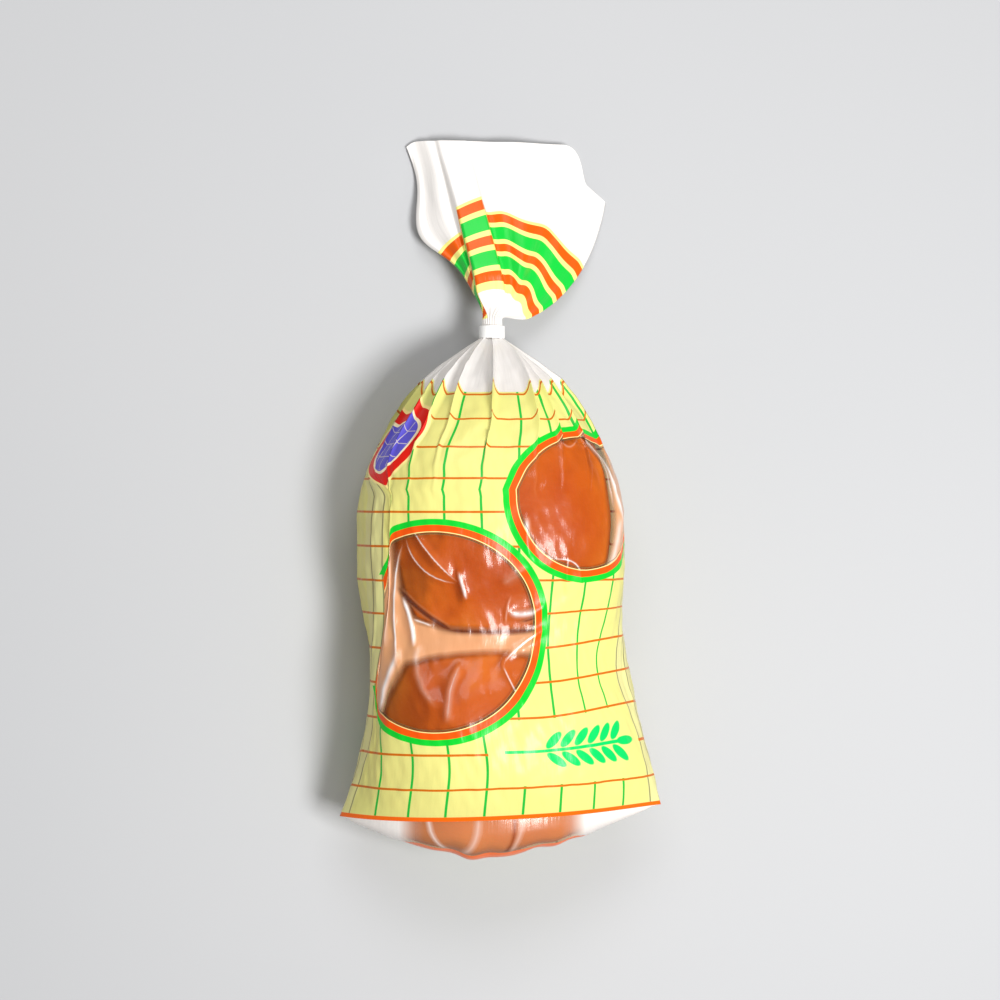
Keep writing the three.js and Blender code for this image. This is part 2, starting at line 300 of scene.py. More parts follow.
def layTail(across, t, side):
    r = t * tail["reach"]
    leftEdge = tail["leftAngle"] + tail["leftFlare"] * bump(r, tail["flareAt"], tail["flareWidth"])
    rightEdge = tail["rightAngle"] + tail["rightRise"] * r
    lean = math.radians(tail["strapTurn"])
    gathered = ease(r, 0, 20)

    def strapEdge(toSide):
        half = tail["strapWidth"] / 2 * toSide
        ex = (tail["strapFoot"] + half * math.sin(lean)) * gathered + r * math.cos(lean)
        ey = -half * math.cos(lean) * gathered + r * math.sin(lean)
        return np.degrees(np.arctan2(ey, ex))

    first, last = tail["strapStarts"], tail["strapEnds"]
    strapLeft, strapRight = strapEdge(-1), strapEdge(1)
    inLeft, inRight = across / first, (across - last) / (1 - last)
    inStrap = (across - first) / (last - first)
    angle = np.where(
        across < first, mix(leftEdge, strapLeft, inLeft),
        np.where(across < last, mix(strapLeft, strapRight, inStrap), mix(strapRight, rightEdge, inRight)),
    )
    turn = np.radians(angle)
    top = tail["reach"] / np.sin(turn)
    cornered = ease(angle, tail["cornerTo"], tail["cornerFrom"])
    leftMouth = mix(top, np.minimum(top, tail["leftReach"]), cornered)
    notch = ease(angle, tail["notchFrom"], tail["notchTo"])
    rightMouth = np.minimum(top, mix(tail["rightReach"], top, notch))
    r = t * np.where(angle > 90, leftMouth, rightMouth)
    middle = np.sin(np.pi * np.clip(across, 0, 1))
    layer = mix(tail["edgeSheet"], tail["sheet"], middle) * (1 - 0.65 * ease(t, 0.75, 1))
    # The right of the fan falls in soft folds, the left in a slight one.
    folds = np.cos(2 * np.pi * 2.4 * np.clip(inRight, 0, 1) ** 0.8 + 0.3)
    folds = folds * ease(inRight, 0, 0.2) * (1 - ease(inRight, 0.9, 1.0))
    tight = 0.5 * np.cos(2 * np.pi * 1.5 * inLeft) * (1 - ease(inLeft, 0.9, 1.0)) * ease(inLeft, 0, 0.1)
    wave = tail["waveHeight"] * np.where(across > last, folds, np.where(across < first, tight, 0))
    wave = wave * ease(t, 0.05, 0.4) * (1 - 0.45 * t)
    plateau = ease(across, first - 0.012, first + 0.012) * (1 - ease(across, last - 0.012, last + 0.012))
    strap = tail["strapHeight"] * plateau * ease(t, 0.1, 0.3) * (1 - 0.75 * ease(t, 0.55, 1.0))
    arch = tail["arch"] * middle * (1 - 0.35 * t)
    low = layer + tail["clearance"] + tail["waveHeight"] * t * middle
    z = mix(neck["z"], low, saturate(t, 1.5)) + (arch + strap) * ease(t, 0, 0.35) + wave
    y = neck["y"] + np.hypot(neck["halfLength"] + 0.5, r * np.sin(turn))
    point = np.stack([neck["x"] + r * np.cos(turn), y, np.maximum(z, 1.8) + side * layer], -1)
    # Film drawn out of the neck: the left of the fan comes out sooner than the right.
    leftDrawn = r + mix(20.6, 15.8, np.clip(inLeft, 0, 1)) * ease(r, 0, 6)
    strapDrawn = r * mix(1.06, 1.0, np.clip(inStrap, 0, 1))
    rightDrawn = r * mix(mix(1.03, 1.13, ease(r, 20, 62)), 1.11, np.clip(inRight, 0, 1))
    rightDrawn = rightDrawn + 1.5 * folds * ease(r, 8, 30)
    drawn = np.where(across < first, leftDrawn, np.where(across < last, strapDrawn, rightDrawn))
    return point, drawn


def layTailRows():
    columns = sheet["columns"]
    t = mix(0.03, 1, np.linspace(0, 1, tail["rows"]) ** 1.15)[:, None]
    across = np.linspace(0, 1, columns + 1)[None, :]
    front, frontDrawn = layTail(across, t, 1)
    back, backDrawn = layTail(across, t, -1)
    fanned = np.concatenate([front, back[:, ::-1][:, 1:]], axis=1)
    drawn = np.concatenate([frontDrawn, backDrawn[:, ::-1][:, 1:]], axis=1)
    # One closed seam: both layers meet at the fan's two edges.
    for column in (0, columns):
        other = -1 if column == 0 else columns
        fanned[:, column] = (front[:, column] + back[:, column]) / 2
        fanned[:, other] = fanned[:, column]
    turn = np.pi - 2 * np.pi * np.arange(2 * columns + 1) / (2 * columns)
    flute = neck["radius"] - 0.5 + 0.3 * np.cos(turn * 26)
    gathered = np.stack([
        np.broadcast_to(neck["x"] + flute * np.cos(turn), drawn.shape),
        neck["y"] + neck["halfLength"] + t * tail["reach"] * 0.6 + 0 * drawn,
        np.broadcast_to(neck["z"] + flute * np.sin(turn), drawn.shape),
    ], -1)
    return mix(gathered, fanned, ease(t, 0, 0.22)[:, :, None]), drawn


# Lines on the film, in squares across and rows along. start, end: a line's ends; bow: how far its
# middle stands off the straight line between them; glow: how far it shows to each side, in mm.
# Shadow lines are painted shade: dark lines on the film, mostly where the upper bun's rim meets the film
# between the two buns. They stand for the shadow in the gap between them.
shadowLines = [
    dict(start=(1.6, 6.85), end=(3.35, 5.47), bow=0.12, glow=2.4, dark=0.9),
    dict(start=(2.7, 5.58), end=(6.0, 5.58), bow=0.07, glow=2.8, dark=0.55),
    dict(start=(5.1, 5.75), end=(6.05, 6.2), bow=0.06, glow=1.8, dark=0.6),
    dict(start=(4.5, 0.0), end=(4.8, -1.35), bow=-0.1, glow=1.8, dark=0.45),  # down the gusset
]
# Creases are ridges where the film is drawn tight or folded; tall and wide in mm: their ridge. Along them
# the film is painted pale, partly the whitening of folded film and partly painted highlight.
creases = [
    # over the upper bun, from the big window's top left
    dict(start=(2.03, 8.65), end=(3.36, 6.97), bow=0.08, tall=1.3, wide=1.3, whitenedAndHighlit=0.75, glow=0.75),
    dict(start=(1.92, 8.27), end=(3.33, 6.93), bow=0.31, tall=1.0, wide=1.3, whitenedAndHighlit=0.7, glow=0.8),
    dict(start=(3.38, 7.3), end=(3.6, 6.45), bow=0.0, tall=1.5, wide=1.7, whitenedAndHighlit=1.0, glow=1.5),
    # down its left edge
    dict(start=(1.85, 8.1), end=(1.75, 4.45), bow=0.26, tall=1.6, wide=1.5, whitenedAndHighlit=0.8, glow=0.8),
    dict(start=(1.72, 4.9), end=(1.05, 3.1), bow=0.0, tall=1.2, wide=2.4, whitenedAndHighlit=0.6, glow=2.6),
    dict(start=(1.35, 7.9), end=(1.25, 5.0), bow=0.15, tall=0.8, wide=2.4, whitenedAndHighlit=0.35, glow=3.0),
    # where the film bridges the valley
    dict(start=(1.78, 6.55), end=(2.17, 5.05), bow=-0.06, tall=1.4, wide=1.6, whitenedAndHighlit=1.0, glow=1.6),
    dict(start=(2.1, 5.87), end=(2.65, 5.67), bow=0.0, tall=0.6, wide=1.2, whitenedAndHighlit=0.6, glow=0.9),
    dict(start=(5.9, 5.55), end=(4.68, 4.55), bow=0.1, tall=1.3, wide=1.4, whitenedAndHighlit=0.75, glow=0.8),
    dict(start=(4.66, 4.55), end=(5.2, 3.3), bow=0.0, tall=1.0, wide=1.4, whitenedAndHighlit=0.75, glow=0.8),
    dict(start=(4.75, 6.05), end=(5.9, 6.3), bow=0.14, tall=1.3, wide=2.0, whitenedAndHighlit=0.9, glow=3.2),
    dict(start=(4.85, 6.55), end=(4.75, 5.7), bow=0.05, tall=0.8, wide=1.5, whitenedAndHighlit=0.4, glow=1.0),
    dict(start=(4.55, 6.9), end=(5.35, 7.4), bow=0.0, tall=0.7, wide=2.6, whitenedAndHighlit=0.22, glow=4.5),
    # over the lower bun
    dict(start=(3.5, 4.6), end=(3.05, 2.85), bow=0.05, tall=1.2, wide=3.0, whitenedAndHighlit=0.4, glow=3.0),
    dict(start=(2.25, 5.1), end=(2.85, 3.3), bow=0.18, tall=1.0, wide=2.8, whitenedAndHighlit=0.3, glow=2.6),
    # in the small window
    dict(start=(6.3, 11.5), end=(6.98, 11.35), bow=0.4, tall=0.8, wide=1.4, whitenedAndHighlit=0.35, glow=1.2),
    dict(start=(6.85, 11.7), end=(8.45, 8.4), bow=-0.3, tall=0.9, wide=2.0, whitenedAndHighlit=0.7, glow=2.4),
    dict(start=(7.0, 11.7), end=(7.95, 9.1), bow=-0.2, tall=0.8, wide=1.4, whitenedAndHighlit=0.5, glow=1.1),
    dict(start=(8.3, 8.9), end=(7.55, 7.0), bow=-0.1, tall=0.5, wide=2.8, whitenedAndHighlit=0.4, glow=4.0),
    dict(start=(5.23, 8.9), end=(5.4, 7.45), bow=0.12, tall=1.1, wide=2.4, whitenedAndHighlit=0.85, glow=2.8),
    dict(start=(5.35, 7.6), end=(5.98, 7.37), bow=0.05, tall=0.8, wide=2.0, whitenedAndHighlit=0.7, glow=2.4),
    dict(start=(5.87, 7.62), end=(6.85, 6.65), bow=-0.42, tall=0.9, wide=1.3, whitenedAndHighlit=0.85, glow=0.8),
    dict(start=(6.35, 7.75), end=(6.45, 6.65), bow=0.0, tall=0.7, wide=1.2, whitenedAndHighlit=0.75, glow=0.7),
    # down the gusset
    dict(start=(3.1, 0.0), end=(2.5, -1.5), bow=0.1, tall=0.3, wide=2.0, whitenedAndHighlit=0.5, glow=2.2),
    dict(start=(3.4, 0.0), end=(3.9, -1.35), bow=-0.1, tall=0.3, wide=2.0, whitenedAndHighlit=0.35, glow=3.0),
    dict(start=(4.7, 0.0), end=(5.1, -1.35), bow=0.0, tall=0.3, wide=2.0, whitenedAndHighlit=0.3, glow=2.4),
]


def pressCreases(cell, row):
    stands = np.zeros_like(cell)
    for c in creases:
        (x0, y0), (x1, y1) = c["start"], c["end"]
        dx, dy = (x1 - x0) * sheet["across"], (y1 - y0) * sheet["along"]
        length = math.hypot(dx, dy)
        px, py = (cell - x0) * sheet["across"], (row - y0) * sheet["along"]
        t = (px * dx + py * dy) / length ** 2
        off = (px * dy - py * dx) / length
        off = off - c["bow"] * sheet["across"] * 4 * t * (1 - t)
        fade = ease(t, -0.08, 0.15) * (1 - ease(t, 0.85, 1.08))
        stands += c["tall"] * fade * np.exp(-np.abs(off / c["wide"]) ** 1.3)
    return stands


def layGusset(ring):
    # The clear film under the hems, over the rims of the lower row.
    columns = sheet["columns"]
    front = ring[:columns + 1][None]
    back = ring[::-1][:columns + 1][None]
    turn = np.pi * np.arange(gusset["rows"] + 1)[:, None] / gusset["rows"]
    middle = (front + back) / 2
    side = np.sign(middle[..., 0] - gusset["offCentre"])
    toSide = bag["hemX"] + side * bag["hemHalfWidth"] - gusset["offCentre"]
    aside = np.minimum(1, np.hypot((middle[..., 0] - gusset["offCentre"]) / toSide, gusset["roundMiddle"]))
    out = gusset["bulge"] * (1 - aside ** gusset["sideways"]) * np.sin(turn) ** gusset["bluntness"]
    cosine = np.cos(turn)
    over = np.sign(cosine) * np.abs(cosine) ** gusset["bluntness"]
    deep = np.minimum(1, (front[..., 2] - back[..., 2]) / 12)
    x = mix(back[..., 0], front[..., 0], (1 + over) / 2)
    z = np.maximum(0, mix(back[..., 2], front[..., 2], (1 + over) / 2))
    # Folds run down the gusset from the hem.
    folded = gusset["folds"] * ripple(x, z * 0.35, 31, 16) * np.sin(turn) ** 0.8 * (1 - aside)
    y = middle[..., 1] - (out + folded) * deep
    return np.stack([x, y, z], -1), aside


def makeFilm():
    body, stands, drawnUp, printAt = layBody()
    columns = sheet["columns"]
    normal = outward(body)
    fromHem = pathLength(body, 0)
    total = fromHem[-1:]
    x, y = body[..., 0], body[..., 1]
    aside = np.clip((x - bag["hemX"]) / bag["hemHalfWidth"], -1, 1)
    v = printAt(y - bag["hemTilt"] * aside * hemmed(y))
    lowered = ease(v, 20, 50) * (1 - ease(v, *sheet["rightLowerEnds"]))
    v = v - sheet["rightLower"] * ease(aside, 0.1, 0.8) * lowered
    panel = np.linspace(0, filmWidth, columns + 1)
    a = np.broadcast_to(np.concatenate([panel, panel[1:]])[None, :], v.shape)
    isFront = (np.arange(2 * columns + 1) <= columns)[None, :]
    cell, row = (a - sheet["weld"]) / sheet["across"], v / sheet["along"]
    creased = pressCreases(cell, row)
    inBody = ease(fromHem, 2, 14) * ease(total - fromHem, 6, 30)
    soft = 0.45 * ripple(a * 1.3, v * 0.7, 5, 26) + 0.16 * ripple(a * 1.6, v * 0.8, 6, 9)
    lift = stands + inBody * (soft * 0.8 + creased * isFront)
    body = body + normal * lift[..., None]
    # Nothing reaches under the surface that the bag lies on, or above the solid.
    body[..., 2] = np.clip(body[..., 2], 0, bag["crown"] + 1.5)
    for column in (0, columns, 2 * columns):
        body[:, column] -= normal[:, column] * lift[:, column, None]
    body[:, -1] = body[:, 0]
    fan, drawn = layTailRows()
    turn = np.pi - 2 * np.pi * np.arange(2 * columns + 1) / (2 * columns)
    flute = neck["radius"] - 0.5 + 0.3 * np.cos(turn * 26)
    neckY = np.linspace(neck["y"] - neck["halfLength"] + 0.6, neck["y"] + neck["halfLength"], 5)[:, None]
    throat = np.stack(np.broadcast_arrays(
        neck["x"] + flute * np.cos(turn), neckY, neck["z"] + flute * np.sin(turn),
    ), -1)
    film = np.concatenate([body, throat, fan])
    v = np.concatenate([v - drawnUp, np.full((5, 2 * columns + 1), filmToNeck), filmToNeck + drawn])
    print("film laid:", film.shape[0], "rows of", film.shape[1])
    return film, v


def gridObject(name, points):
    # A primitive grid with one vertex for each point, moved to its place.
    rows, columns = points.shape[:2]
    bpy.ops.object.select_all(action="DESELECT")
    bpy.ops.mesh.primitive_grid_add(x_subdivisions=columns - 1, y_subdivisions=rows - 1, size=1)
    made = bpy.context.object
    made.name = made.data.name = name
    moved = (points + np.array([shiftX, shiftY, 0])) * mm
    made.data.vertices.foreach_set("co", moved.reshape(-1).astype(np.float32))
    return made


def writeMap(made, across, along):
    # across and along are given for each face corner, in mm of flat film.
    layer = made.data.uv_layers[0]
    layer.name = "film"
    layer.uv.foreach_set("vector", np.stack([across, along], -1).reshape(-1).astype(np.float32))


def cornersOf(made):
    corners = np.zeros(len(made.data.loops), int)
    made.data.loops.foreach_get("vertex_index", corners)
    return corners


def writeAttribute(made, name, values):
    layer = made.data.attributes.new(name, "FLOAT", "POINT")
    layer.data.foreach_set("value", np.asarray(values, np.float32).reshape(-1))


def joinFilm():
    film, v = makeFilm()
    columns = sheet["columns"]
    wide = 2 * columns + 1
    piece = gridObject("film", film)
    corners = cornersOf(piece)
    column, row = corners % wide, corners // wide
    face = np.arange(len(corners)) // 4
    onBack = face % (2 * columns) >= columns
    across = (column - columns * onBack) * filmWidth / columns
    along = v[row, column]
    # The back's print starts further from the front's hem, so that its own hem line shows
    # along the bottom of the gusset.
    fromSide = np.abs(2 * across / filmWidth - 1)
    rise = gusset["after"] * (1 - fromSide ** 2)
    along = np.where(onBack & (row < sheet["rows"]), along + rise * np.clip(1 - along / 60, 0, 1), along)
    writeMap(piece, across + sheet["backStarts"] * onBack, along)

    hem, aside = layGusset(film[0])
    strip = gridObject("gusset_film", hem)
    corners = cornersOf(strip)
    column, row = corners % (columns + 1), corners // (columns + 1)
    down = row / gusset["rows"]
    near = 1 - aside[0, column] ** 2
    begins = mix(gusset["beginsAtSide"], gusset["beginsInMiddle"], ease(near, 0.3, 0.8))
    across = column * filmWidth / columns
    rise = gusset["after"] * (1 - (2 * across / filmWidth - 1) ** 2)
    past = rise * (down - begins) / (1 - begins)
    along = np.where(down < begins, gusset["before"] * (down - begins), past)
    writeMap(strip, across, along)

    bpy.ops.object.select_all(action="DESELECT")
    strip.select_set(True)
    piece.select_set(True)
    bpy.context.view_layer.objects.active = piece
    bpy.ops.object.join()
    bpy.ops.object.mode_set(mode="EDIT")
    bpy.ops.mesh.select_all(action="SELECT")
    bpy.ops.mesh.remove_doubles(threshold=0.00002)
    bpy.ops.mesh.normals_make_consistent(inside=False)
    bpy.ops.mesh.select_all(action="DESELECT")
    bpy.ops.object.mode_set(mode="OBJECT")
    bpy.ops.object.shade_smooth()
    return piece


buns = [
    dict(name="bun_upper_front", x=-2.2, y=-13.2, z=40.2, across=106, along=105.5, tall=38.6, draw=3),
    dict(name="bun_lower_front", x=-6.5, y=-117.3, z=40.2, across=105, along=103, tall=38.6, draw=4),
    dict(name="bun_upper_rear", x=-6, y=-14, z=0.3, across=103, along=100, tall=39.2, draw=5),
    dict(name="bun_lower_rear", x=3, y=-116, z=0.3, across=103, along=102, tall=39.4, draw=6),
]
bunForm = dict(
    levels=6, square=0.3, heelShare=0.34, heelDeep=1.5, uneven=2.2, dimples=0.5,
    held=((0.0018, 10), (0.0007, 0)),  # clearance in metres, and how often it is evened after
)


def applyModifier(made, kind, name, **settings):
    modifier = made.modifiers.new(name, kind)
    for key, value in settings.items():
        setattr(modifier, key, value)
    bpy.context.view_layer.objects.active = made
    bpy.ops.object.modifier_apply(modifier=name)


def selectWhere(made, test):
    bpy.ops.object.mode_set(mode="EDIT")
    bpy.ops.mesh.select_all(action="DESELECT")
    bpy.ops.object.mode_set(mode="OBJECT")
    for vertex in made.data.vertices:
        vertex.select = test(vertex.co)
    bpy.ops.object.mode_set(mode="EDIT")


def bakeBun(bun, film):
    bpy.ops.object.select_all(action="DESELECT")
    bpy.ops.mesh.primitive_cube_add(size=1)
    made = bpy.context.object
    made.name = made.data.name = bun["name"]
    applyModifier(made, "SUBSURF", "Rise", levels=bunForm["levels"], render_levels=bunForm["levels"])
    applyModifier(made, "CAST", "Tin", factor=bunForm["square"], cast_type="CUBOID")
    made.dimensions = (bun["across"] * mm, bun["along"] * mm, 2 * bun["tall"] * mm)
    bpy.ops.object.transform_apply(location=True, rotation=True, scale=True)
    # The heel under the widest line is shallow, with a flat base.
    selectWhere(made, lambda co: co.z > 1e-6)
    crownShare = 1 - bunForm["heelShare"]
    bpy.ops.transform.resize(value=(1, 1, crownShare), center_override=(0, 0, 0))
    selectWhere(made, lambda co: co.z < -1e-6)
    heelDepth = bunForm["heelShare"] * bunForm["heelDeep"]
    bpy.ops.transform.resize(value=(1, 1, heelDepth), center_override=(0, 0, 0))
    base = -bunForm["heelShare"] * bun["tall"] * mm
    selectWhere(made, lambda co: co.z < base)
    bpy.ops.transform.resize(value=(1, 1, 0.02), center_override=(0, 0, base))
    bpy.ops.object.mode_set(mode="OBJECT")
    for scale, strength in ((0.045, bunForm["uneven"]), (0.011, bunForm["dimples"])):
        clouds = bpy.data.textures.new(bun["name"] + "_rise", "CLOUDS")
        clouds.noise_scale = scale
        clouds.noise_depth = 1
        made.location = (0.3 * bun["draw"], 0.17 * bun["draw"], 0)
        applyModifier(
            made, "DISPLACE", "Uneven", texture=clouds, strength=strength * mm, mid_level=0.5,
            texture_coords="GLOBAL",
        )
    made.location = ((bun["x"] + shiftX) * mm, (bun["y"] + shiftY) * mm, bun["z"] * mm - base)
    bpy.ops.object.transform_apply(location=True, rotation=True, scale=True)
    # The bag holds it: what would stand out of the film is pressed in, and evened out.
    for clearance, evened in bunForm["held"]:
        applyModifier(
            made, "SHRINKWRAP", "Held", target=film, wrap_method="NEAREST_SURFACEPOINT", wrap_mode="INSIDE",
            offset=clearance,
        )
        if evened:
            applyModifier(made, "SMOOTH", "Evened", factor=0.5, iterations=evened)
    bpy.ops.object.shade_smooth()
    print("bun:", made.name, len(made.data.polygons), "faces")
    return made


def measureAir(film, contents):
    # How far each point of the film stands off the nearest bun, in mm.
    farthest = 20
    graph = bpy.context.evaluated_depsgraph_get()
    trees = [BVHTree.FromObject(bun, graph) for bun in contents]
    air = []
    for vertex in film.data.vertices:
        gaps = [tree.find_nearest(vertex.co, farthest * mm)[3] for tree in trees]
        found = [gap for gap in gaps if gap is not None]
        air.append(min(found) / mm if found else farthest)
    writeAttribute(film, "air", air)


def paint(red, green, blue):
    # A colour as it looks on screen, from 0 to 255, as Blender's linear numbers.
    linear = [c / 255 / 12.92 if c < 11 else ((c / 255 + 0.055) / 1.055) ** 2.4 for c in (red, green, blue)]
    return (*linear, 1)


class Wire:
    # One output socket, so that shader maths reads as maths.
    def __init__(self, finish, socket):
        self.finish = finish
        self.socket = socket

    def math(self, operation, *values):
        return self.finish.node("ShaderNodeMath", dict(operation=operation), dict(enumerate(values)))

    def __add__(self, other):
        return self.math("ADD", self, other)

    def __radd__(self, other):
        return self.math("ADD", other, self)

    def __sub__(self, other):
        return self.math("SUBTRACT", self, other)

    def __rsub__(self, other):
        return self.math("SUBTRACT", other, self)

    def __mul__(self, other):
        return self.math("MULTIPLY", self, other)

    def __rmul__(self, other):
        return self.math("MULTIPLY", other, self)

    def __truediv__(self, other):
        return self.math("DIVIDE", self, other)

    def __rtruediv__(self, other):
        return self.math("DIVIDE", other, self)

    def __pow__(self, other):
        return self.math("POWER", self, other)

    def __rpow__(self, other):
        return self.math("POWER", other, self)

    def __abs__(self):
        return self.math("ABSOLUTE", self)

    def __gt__(self, other):
        return self.math("GREATER_THAN", self, other)

    def __lt__(self, other):
        return self.math("LESS_THAN", self, other)

    def most(self, other):
        return self.math("MAXIMUM", self, other)

    def toNearest(self, pitch=1.0):
        return self.math("PINGPONG", self, pitch / 2)

    def held(self):
        return self.math("MAXIMUM", self.math("MINIMUM", self, 1.0), 0.0)


class Finish:
    # One material and its nodes.
    def __init__(self, name):
        self.material = bpy.data.materials.new(name)
        self.material.use_nodes = True
        self.tree = self.material.node_tree
        self.tree.nodes.clear()
        self.out = self.tree.nodes.new("ShaderNodeOutputMaterial")

    def node(self, kind, settings=None, sockets=None, output=0):
        made = self.tree.nodes.new(kind)
        for key, value in (settings or {}).items():
            if key == "stops":
                while len(made.color_ramp.elements) < len(value):
                    made.color_ramp.elements.new(0.5)
                for element, (position, colour) in zip(made.color_ramp.elements, value):
                    element.position = position
                    element.color = colour
            else:
                setattr(made, key, value)
        for key, value in (sockets or {}).items():
            if isinstance(value, Wire):
                self.tree.links.new(value.socket, made.inputs[key])
            else:
                made.inputs[key].default_value = value
        return Wire(self, made.outputs[output])

    def mixed(self, share, first, second):
        # Colours: first where share is 0, second where it is 1.
        return self.node("ShaderNodeMix", dict(data_type="RGBA"), {0: share, 6: first, 7: second}, output=2)

    def layered(self, share, first, second):
        return self.node("ShaderNodeMixShader", None, {0: share, 1: first, 2: second})

    def joined(self, x, y, z=0.0):
        return self.node("ShaderNodeCombineXYZ", None, {0: x, 1: y, 2: z})

    def noise(self, where, scale, detail=3.0, roughness=0.5):
        sockets = dict(Vector=where, Scale=scale, Detail=detail, Roughness=roughness)
        return self.node("ShaderNodeTexNoise", None, sockets)

    def spread(self, value, start, end):
        # 0 at start and 1 at end, held outside them.
        return ((value - start) / (end - start)).held()

    def done(self, shader, made):
        self.tree.links.new(shader.socket, self.out.inputs["Surface"])
        made.data.materials.clear()
        made.data.materials.append(self.material)


inks = dict(
    field=paint(255, 255, 156), welded=paint(252, 252, 200), line=paint(205, 106, 8), hem=paint(244, 104, 6),
    green=paint(30, 176, 58),
    ringGreen=paint(8, 200, 46), ringOrange=paint(236, 84, 4), ringPale=paint(255, 232, 150),
    dark=paint(40, 62, 40),
    stripeOrange=paint(230, 92, 4), stripeGreen=paint(20, 202, 62), stripeYellow=paint(255, 246, 140),
    red=paint(226, 26, 10), cream=paint(255, 240, 196), violet=paint(92, 84, 200), sprig=paint(0, 205, 96),
    # haze is the milky film's colour over the buns, painted in their tint for the buns' light coming through
    # it.
    # sunk is painted shadow, the dark of the gap between the buns.
    haze=paint(243, 174, 122), sunk=paint(70, 24, 8),
)
printing = dict(
    lineHalf=0.55, greenHalf=0.6, edgeHalf=0.42, hemHalf=1.9, soft=0.16,
    windows=((2.70, 5.53, 3.27, 0), (7.0, 9.33, 2.40, 0), (4.5, 6.2, 2.6, 1)),
    greenRing=0.175, orangeRing=0.21,
    bareFrom=4.0, bareRows=(1.0, 3.0), badge=(0.9, 11.12, 1.36), badgeSlant=0.3, badgeNarrow=1.12,
    stripesFrom=20.8, stripes=(
        ("stripeYellow", 4.0), ("stripeOrange", 5.0), ("stripeYellow", 2.7), ("stripeGreen", 7.4),
        ("stripeYellow", 2.7), ("stripeOrange", 4.6), ("stripeYellow", 2.7), ("stripeGreen", 7.6),
        ("stripeYellow", 2.7), ("stripeOrange", 5.0), ("stripeYellow", 1.6),
    ),
)


# Clear film: how milky it is where it stands off the buns, from airFrom to airTo mm, under the
# hem, at the gusset's sides (squares from its middle), in the cone and in the tail.
clearFilm = dict(
    airFrom=1.9, airTo=4.0, offBuns=0.84, underHem=0.32, atSides=0.93, gussetMiddle=4.25,
    # creased: the milk that the creases add, partly the whitening of folded film and partly painted
    # highlight.
    sidesFrom=1.8, sidesTo=2.5, cone=0.86, coneMore=0.1, tail=0.97, creased=0.8,
    ior=1.48, gloss=0.55, glossRoughness=0.17, milkRoughness=0.3, backLit=0.15, inkBackLit=0.3,
)


def within(distance, limit, soft):
    # 1 where distance is under limit, with an edge as soft as ink's.
    return ((limit - distance) / soft + 0.5).held()


def wheatEar(x, y, tall, soft):
    # A plain ear of wheat that stands up from y = 0: two rows of grains on a stalk.
    grains, pitch, first = 6, tall / 9, tall * 0.3
    side = abs(x)
    climb = y - side * 0.9 - first
    seed = ((side - pitch * 0.62) / (pitch * 0.5)) ** 2.0
    seed = seed + (climb.toNearest(pitch) / (pitch * 0.42)) ** 2.0
    seeds = within(seed, 1.0, 0.3) * within(abs(climb - pitch * (grains - 1) / 2), pitch * grains / 2, soft)
    top = first + pitch * (grains + 0.2)
    tip = within((side / (pitch * 0.24)) ** 2.0 + ((y - top) / (pitch * 0.8)) ** 2.0, 1.0, 0.3)
    stalk = within(side, pitch * 0.1, soft) * within(abs(y - top / 2), top / 2, soft)
    return seeds.most(stalk).most(tip)


def lineOf(c, cell, row):
    # 1 along the middle of a crease and 0 beside it and past its ends, as shader maths.
    (x0, y0), (x1, y1) = c["start"], c["end"]
    dx, dy = (x1 - x0) * sheet["across"], (y1 - y0) * sheet["along"]
    length = math.hypot(dx, dy)
    px, py = (cell - x0) * sheet["across"], (row - y0) * sheet["along"]
    t = px * (dx / length ** 2) + py * (dy / length ** 2)
    off = px * (dy / length) - py * (dx / length) - t * (1 - t) * (4 * c["bow"] * sheet["across"])
    fade = (t * 5).held() * ((1 - t) * 5).held()
    return (1 - abs(off) / c["glow"]).held() ** 1.4 * fade


def strongest(values):
    found = None
    for value in values:
        found = value if found is None else found.most(value)
    return found


